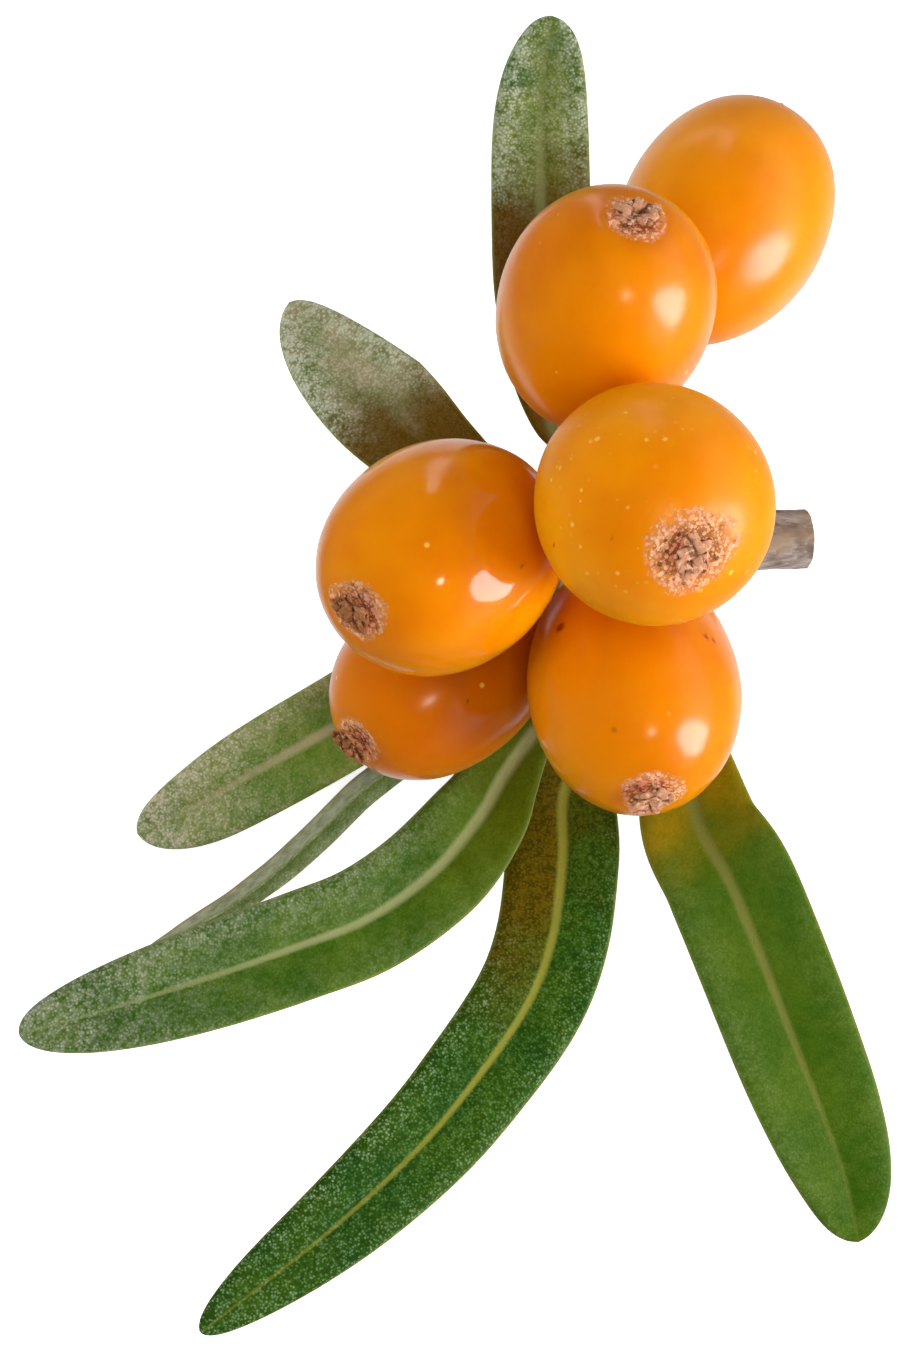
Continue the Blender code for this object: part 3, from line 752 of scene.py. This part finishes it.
def leaf_rows(leaf):
    """A closed cross-section carried along the midrib. It runs over the top from one edge to
    the other and back underneath. Both halves fold up from the midrib and their outermost
    parts bend down again, the rib is a bell-shaped groove on top and a ridge beneath, and
    noise gives the blade low waves that grow with the distance from the midrib."""
    share = 1.0 - (1.0 - np.linspace(0.0, 1.0, LEAF_ROWS)) ** 1.4
    start = from_twig(LEAF_PLACES[leaf.name], leaf.midrib[0])
    route, length = smooth_route((start,) + leaf.midrib, share)
    side, up = level_frames(route)
    along = share * length
    widths = [blade_half_width(leaf, along, length, bluntness)[:, None] for bluntness in leaf.bluntness]
    half_width = 0.5 * (widths[0] + widths[1])
    opened = np.clip((half_width - PETIOLE_HALF_WIDTH) / (0.4 * leaf.half_width), 0.0, 1.0)
    slender = np.where(share[:, None] < 0.5, 1.0 - opened, 0.0)
    thick = BLADE_THICKNESS + (PETIOLE_THICKNESS - BLADE_THICKNESS) * slender
    thin = EDGE_THICKNESS + (0.6 * PETIOLE_THICKNESS - EDGE_THICKNESS) * slender
    roll = math.radians(leaf.roll) * np.clip(along / leaf.petiole, 0.0, 1.0)[:, None]
    fold = math.radians(leaf.fold) * opened
    across = np.cos(roll) * side + np.sin(roll) * up
    above = np.cos(roll) * up - np.sin(roll) * side
    turn = np.linspace(0.0, 2 * math.pi, LEAF_TURNS, endpoint=False)
    u = np.sign(np.cos(turn)) * (1.0 - (1.0 - np.abs(np.cos(turn))) ** 0.8)
    face = np.sign(np.sin(turn)) * np.minimum(1.0, np.abs(np.sin(turn)) * 3.2) ** 0.6
    out = np.where(u < 0.0, u * widths[0], u * widths[1])
    soft = np.sqrt(out ** 2 + FOLD_SOFTNESS ** 2) - FOLD_SOFTNESS
    rim = np.clip((np.abs(u) - RIM_START) / (1.0 - RIM_START), 0.0, 1.0) ** 2
    lift = soft * np.tan(fold) * 0.98 - opened * RIM_BEND * rim
    half_thick = 0.5 * (thick + (thin - thick) * np.abs(u))
    groove = -RIB_GROOVE[0] * opened * np.exp(-(out / RIB_GROOVE[1]) ** 2) * (face > 0.0)
    ridge = -RIB_RIDGE[0] * opened * np.exp(-(out / RIB_RIDGE[1]) ** 2) * (face < 0.0)
    middle = route[:, None] + (out * np.cos(fold))[..., None] * across[:, None]
    seed = 60 + len(leaf.name)
    wave = (SLOW_WAVES[0] * grain(middle, SLOW_WAVES[1], seed) * np.abs(u)
            + QUICK_WAVES[0] * grain(middle, QUICK_WAVES[1], seed + 1) * opened)
    lift = lift * np.cos(fold) + wave * opened + half_thick * face + groove + ridge
    rows = middle + lift[..., None] * above[:, None]
    rows[..., 2] = np.maximum(rows[..., 2], 0.0)
    blade = np.clip((along - leaf.petiole) / (length - leaf.petiole), 0.0, 1.0)[:, None] + 0.0 * u
    top = np.broadcast_to(np.clip(0.5 + 2.0 * face, 0.0, 1.0), out.shape)
    return rows, {"across": out, "along": blade, "edge": np.abs(u) + 0.0 * out, "top": top}


BROAD_PATCHES = (420.0, 3.0)
SCALE_CELLS = 9200.0
SCALE_CLUMPS = (3800.0, 3.0)
MOTTLE = (1100.0, 4.0, 0.6)
LEATHER = (1500.0, 3.0)
FELT = (2300.0, 3.0)
RUSTY_FELT = (6500.0, 0.5, 0.25)
GAP_SHADE = (0.45, 0.5, 0.45, 1.0)
RIM_GREEN = paint(140, 154, 70)
PETIOLE_GREEN = paint(132, 134, 66)


def leaf_face_group():
    """The upper face of a leaf: two greens in slow patches, bronze near the foot as painted
    light from the berries' orange glow, and round silver scales that crowd more on one side, at
    the edges and at the tip, with dark green between them. A pale midrib narrows towards the
    tip, and the rim is thin and yellow-green."""
    tree, given, out = node_group(
        "leaf_face",
        {"Vector": ("Place",), "Color": ("Green", "Patch", "Silver", "Bronze", "Rib"),
         "Float": ("Left", "Right", "Tip", "Speckle", "Bronze left", "Bronze right", "Rib width", "Across",
                   "Along", "Edge")},
        {"Color": ("Colour",), "Float": ("Roughness", "Height")})
    place, across, along, edge = (given[name] for name in ("Place", "Across", "Along", "Edge"))
    on_right = between(tree, across, -0.3, 0.3)
    broad = noise(tree, place, *BROAD_PATCHES)
    cells = wire(tree, "ShaderNodeTexVoronoi", {"feature": "F1"}, Vector=place, Scale=SCALE_CELLS)
    own_shade = wire(tree, "ShaderNodeSeparateColor", Color=cells.outputs["Color"]).outputs[0]
    disc = minus(tree, 1.0, between(tree, cells.outputs["Distance"], 0.15, 0.65))
    scale = times(tree, disc, plus(tree, times(tree, own_shade, 0.6), 0.4))
    clump = between(tree, noise(tree, place, *SCALE_CLUMPS), 0.35, 0.65)
    scale = plus(tree, times(tree, scale, 0.75), times(tree, clump, 0.3))
    stray = times(tree, minus(tree, scale, 0.45), given["Speckle"])
    mottle = between(tree, noise(tree, place, *MOTTLE), 0.34, 0.66)
    patchy = plus(tree, times(tree, between(tree, broad, 0.36, 0.66), 0.6), times(tree, mottle, 0.4))
    green = blended(tree, patchy, given["Green"], given["Patch"])
    # Painted light: the bronze near the foot stands for the orange glow of the berries.
    wavy = plus(tree, along, times(tree, minus(tree, broad, 0.5), 0.3))
    reach = mixed(tree, on_right, given["Bronze left"], given["Bronze right"])
    berry_glow = between(tree, wavy, plus(tree, reach, 0.14), minus(tree, reach, 0.14))
    green = blended(tree, berry_glow, green, given["Bronze"])
    darker = wire(tree, "ShaderNodeMix", {"data_type": "RGBA", "blend_type": "MULTIPLY"}, i0=1.0, i6=green,
                  i7=GAP_SHADE).outputs[2]
    green = blended(tree, times(tree, stray, -0.8, clamp=True), green, darker)
    silvered = mixed(tree, on_right, given["Left"], given["Right"])
    silvered = times(tree, silvered, plus(tree, between(tree, edge, 0.2, 1.0), 0.4))
    silvered = times(tree, silvered, plus(tree, between(tree, along, 0.1, 0.5), 0.2))
    silvered = plus(tree, silvered, times(tree, between(tree, along, 0.6, 1.0), given["Tip"]))
    silvered = times(tree, silvered, plus(tree, times(tree, mottle, 0.7), 0.65))
    silvered = times(tree, silvered, minus(tree, 1.0, times(tree, berry_glow, 0.94)))
    cover = times(tree, silvered, plus(tree, times(tree, stray, 2.2), 1.0), clamp=True)
    green = blended(tree, cover, green, given["Silver"])
    tapered = times(tree, minus(tree, 1.2, along), given["Rib width"])
    on_rib = between(tree, maths(tree, "ABSOLUTE", across), tapered, times(tree, tapered, 0.2))
    fading = minus(tree, 0.72, times(tree, between(tree, along, 0.5, 1.0), 0.5))
    green = blended(tree, times(tree, on_rib, fading), green, given["Rib"])
    green = blended(tree, times(tree, between(tree, edge, 0.93, 1.0), 0.4), green, RIM_GREEN)
    tree.links.new(green, out["Colour"])
    rough = plus(tree, times(tree, clump, 0.15), 0.5)
    tree.links.new(plus(tree, rough, times(tree, cover, 0.15)), out["Roughness"])
    height = plus(tree, times(tree, noise(tree, place, *LEATHER), 0.05), times(tree, scale, 0.012))
    tree.links.new(plus(tree, height, times(tree, broad, 0.1)), out["Height"])
    return tree


def leaf_back_group():
    """The under face: felted with silver and rusty scales, over a paler midrib."""
    tree, given, out = node_group("leaf_back", {"Vector": ("Place",), "Float": ("Across",)},
                                  {"Color": ("Colour",)})
    place = given["Place"]
    felted = between(tree, noise(tree, place, *FELT), 0.3, 0.7)
    felt = blended(tree, felted, paint(138, 146, 112), paint(176, 182, 150))
    rusty = specks(tree, place, 0.2, *RUSTY_FELT)[0]
    felt = blended(tree, times(tree, rusty, 0.5), felt, paint(150, 112, 70))
    from_rib = maths(tree, "ABSOLUTE", given["Across"])
    rib = minus(tree, 1.0, between(tree, from_rib, 0.12, 0.26))
    tree.links.new(blended(tree, rib, felt, paint(160, 142, 98)), out["Colour"])
    return tree


LEAF_FACE = leaf_face_group()
LEAF_BACK = leaf_back_group()


def leaf_finish(leaf):
    material, tree, shader, place = new_finish("leaf_" + leaf.name, Specular_IOR_Level=0.1)
    across, along = mark(tree, "across"), mark(tree, "along")
    look = {field.capitalize(): paint(*value) if isinstance(value, tuple) else value
            for field, value in leaf.look._asdict().items()}
    face = placed(tree, LEAF_FACE, Place=place, Across=across, Along=along, Edge=mark(tree, "edge"), **look)
    back = placed(tree, LEAF_BACK, Place=place, Across=across)
    blade = blended(tree, mark(tree, "top"), back.outputs["Colour"], face.outputs["Colour"])
    petiole = minus(tree, 1.0, between(tree, along, 0.0, 0.03))
    tree.links.new(blended(tree, petiole, blade, PETIOLE_GREEN), shader.inputs["Base Color"])
    tree.links.new(face.outputs["Roughness"], shader.inputs["Roughness"])
    roughen(tree, shader, face.outputs["Height"], MM)
    return material


for leaf in LEAVES:
    rows, marks = leaf_rows(leaf)
    piece = closed_skin("blade_" + leaf.name, rows, leaf_finish(leaf), **marks)
    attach(piece, "root")
    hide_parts("leaf_" + leaf.name)

# ---------------------------------------------------------------- the table and the light
# The sprig lies on a plain white table in a white tent. A tall soft lamp stands low on its
# right and a little towards its foot, a small one hangs over it, a thin strip stands beyond
# its top, and two broad ones fill its shadows unseen. The tent is brightest low on the right.
TABLE_REACH = 3.0
TABLE_WHITE = paint(250, 250, 250)
TABLE_IN_REFLECTIONS = paint(70, 70, 70)
# Masks on the table: each has a middle or a start, and fades from one distance to another.
# The glows near the sprig and in the lane are painted reflections, and the dark round between
# the berries is painted shade in them.
# The lane also fades from one slope away from the Y axis to another.
WHITE_ROUND = (0.004, 0.007, 0.0)
WHITE_FADE = (0.012, 0.024)
REFLECTED_SHADE_ROUND = (0.001, 0.0055, 0.0)
REFLECTED_SHADE_FADE = (0.0035, 0.006)
LANE_START = (0.026, 0.05)
LANE_SLOPE = (0.01, 0.14)
# How brightly the table glows to the camera, in reflections near the sprig and in the lane,
# and to all other light.
SEEN_GLOW, NEAR_GLOW, LANE_GLOW, OWN_GLOW = 0.7, 0.7, 1.8, 0.05


def apart_from(tree, place, middle):
    return wire(tree, "ShaderNodeVectorMath", {"operation": "DISTANCE"}, i0=place, i1=middle).outputs["Value"]


def table_finish():
    """White, and white to the camera even in the sprig's shadow. What shines sees it white
    close to the sprig and along a narrow lane beyond its top, dark between the berries, and
    grey elsewhere, as if dark card stood round it. These are painted reflections, and the dark
    between the berries is painted shade in them."""
    material, tree, shader, place = new_finish("white_table", Roughness=0.9, Specular_IOR_Level=0.0,
                                               Emission_Color=(1.0, 1.0, 1.0, 1.0))
    ray = tree.nodes.new("ShaderNodeLightPath").outputs
    tree.links.new(blended(tree, ray["Is Glossy Ray"], TABLE_WHITE, TABLE_IN_REFLECTIONS),
                   shader.inputs["Base Color"])
    close = minus(tree, 1.0, between(tree, apart_from(tree, place, WHITE_ROUND), *WHITE_FADE))
    # Painted shade in the reflections: the table goes dark between the berries, where they shade it.
    close = times(tree, close, between(tree, apart_from(tree, place, REFLECTED_SHADE_ROUND), *REFLECTED_SHADE_FADE))
    spot = wire(tree, "ShaderNodeSeparateXYZ", Vector=place).outputs
    slope = maths(tree, "DIVIDE", maths(tree, "ABSOLUTE", spot["X"]), maths(tree, "MAXIMUM", spot["Y"], MM))
    lane = minus(tree, 1.0, between(tree, slope, *LANE_SLOPE))
    lane = times(tree, lane, between(tree, spot["Y"], *LANE_START))
    mirrored = plus(tree, times(tree, close, NEAR_GLOW), times(tree, lane, LANE_GLOW))
    mirrored = times(tree, mirrored, ray["Is Glossy Ray"])
    glow = plus(tree, times(tree, ray["Is Camera Ray"], SEEN_GLOW), mirrored)
    tree.links.new(plus(tree, glow, OWN_GLOW), shader.inputs["Emission Strength"])
    return material


low = cad_box[0][2]
corners = [(x * TABLE_REACH, y * TABLE_REACH, low) for x, y in ((-1, -1), (1, -1), (1, 1), (-1, 1))]
table_mesh = bpy.data.meshes.new("table")
table_mesh.from_pydata(corners, [], [(0, 1, 2, 3)])
table_mesh.materials.append(table_finish())
table = bpy.data.objects.new("table", table_mesh)
bpy.context.collection.objects.link(table)


def lamp(name, direction, distance, width, height, power, tint=(1.0, 1.0, 1.0), mirrored=True):
    """A soft oval box at a distance in a direction from the sprig, turned to face it. One that
    isn't mirrored gives light but no highlight."""
    light = bpy.data.lights.new(name, "AREA")
    light.shape = "ELLIPSE"
    light.size = width
    light.size_y = height
    light.energy = power
    light.color = tint
    holder = bpy.data.objects.new(name, light)
    holder.visible_camera = False
    holder.visible_glossy = mirrored
    bpy.context.collection.objects.link(holder)
    away = unit(direction)
    side = unit(np.cross((0.0, 0.0, 1.0), away))
    turned = np.eye(4)
    turned[:3] = np.column_stack((side, np.cross(away, side), away, away * distance))
    holder.matrix_world = Matrix(turned.tolist())


lamp("tall_lamp", (0.9, -0.3, 0.32), 0.7, 0.36, 0.56, 5.2, (1.0, 0.92, 0.97))
lamp("small_lamp", (0.25, -0.23, 0.93), 0.7, 0.08, 0.08, 0.3, (1.0, 0.9, 0.72))
lamp("strip_lamp", (0.0, 0.98, 0.12), 0.7, 0.1, 0.2, 0.1)
lamp("broad_lamp", (-0.1, 0.1, 1.0), 1.0, 1.2, 1.2, 6.4, mirrored=False)
lamp("left_lamp", (-0.9, 0.1, 0.45), 1.0, 1.0, 1.0, 3.8, (1.0, 0.99, 0.94), mirrored=False)

# The tent's brightness everywhere, what is added low down, and what is added low on the right.
TENT_GLOW, LOW_GLOW, RIGHT_GLOW = 0.02, 0.03, 0.7
world = bpy.data.worlds.new("white_tent")
bpy.context.scene.world = world
world.use_nodes = True
tree = world.node_tree
sky = tree.nodes["Background"]
aim = wire(tree, "ShaderNodeSeparateXYZ", Vector=tree.nodes.new("ShaderNodeTexCoord").outputs["Generated"])
low_down = minus(tree, 1.0, between(tree, maths(tree, "ABSOLUTE", aim.outputs["Z"]), 0.3, 0.85))
on_right = between(tree, aim.outputs["X"], 0.3, 0.95)
glow = times(tree, low_down, plus(tree, times(tree, on_right, RIGHT_GLOW), LOW_GLOW))
tree.links.new(plus(tree, glow, TENT_GLOW), sky.inputs["Strength"])
sky.inputs["Color"].default_value = (1.0, 1.0, 1.0, 1.0)

camera_data = bpy.data.cameras.new("camera")
camera_data.lens = 220.0
camera_data.sensor_width = 36.0
camera_data.clip_start = 0.01
camera = bpy.data.objects.new("camera", camera_data)
camera.location = (0.0, 0.0, 0.31)
bpy.context.collection.objects.link(camera)
bpy.context.scene.camera = camera
bpy.context.scene.view_settings.view_transform = "Standard"
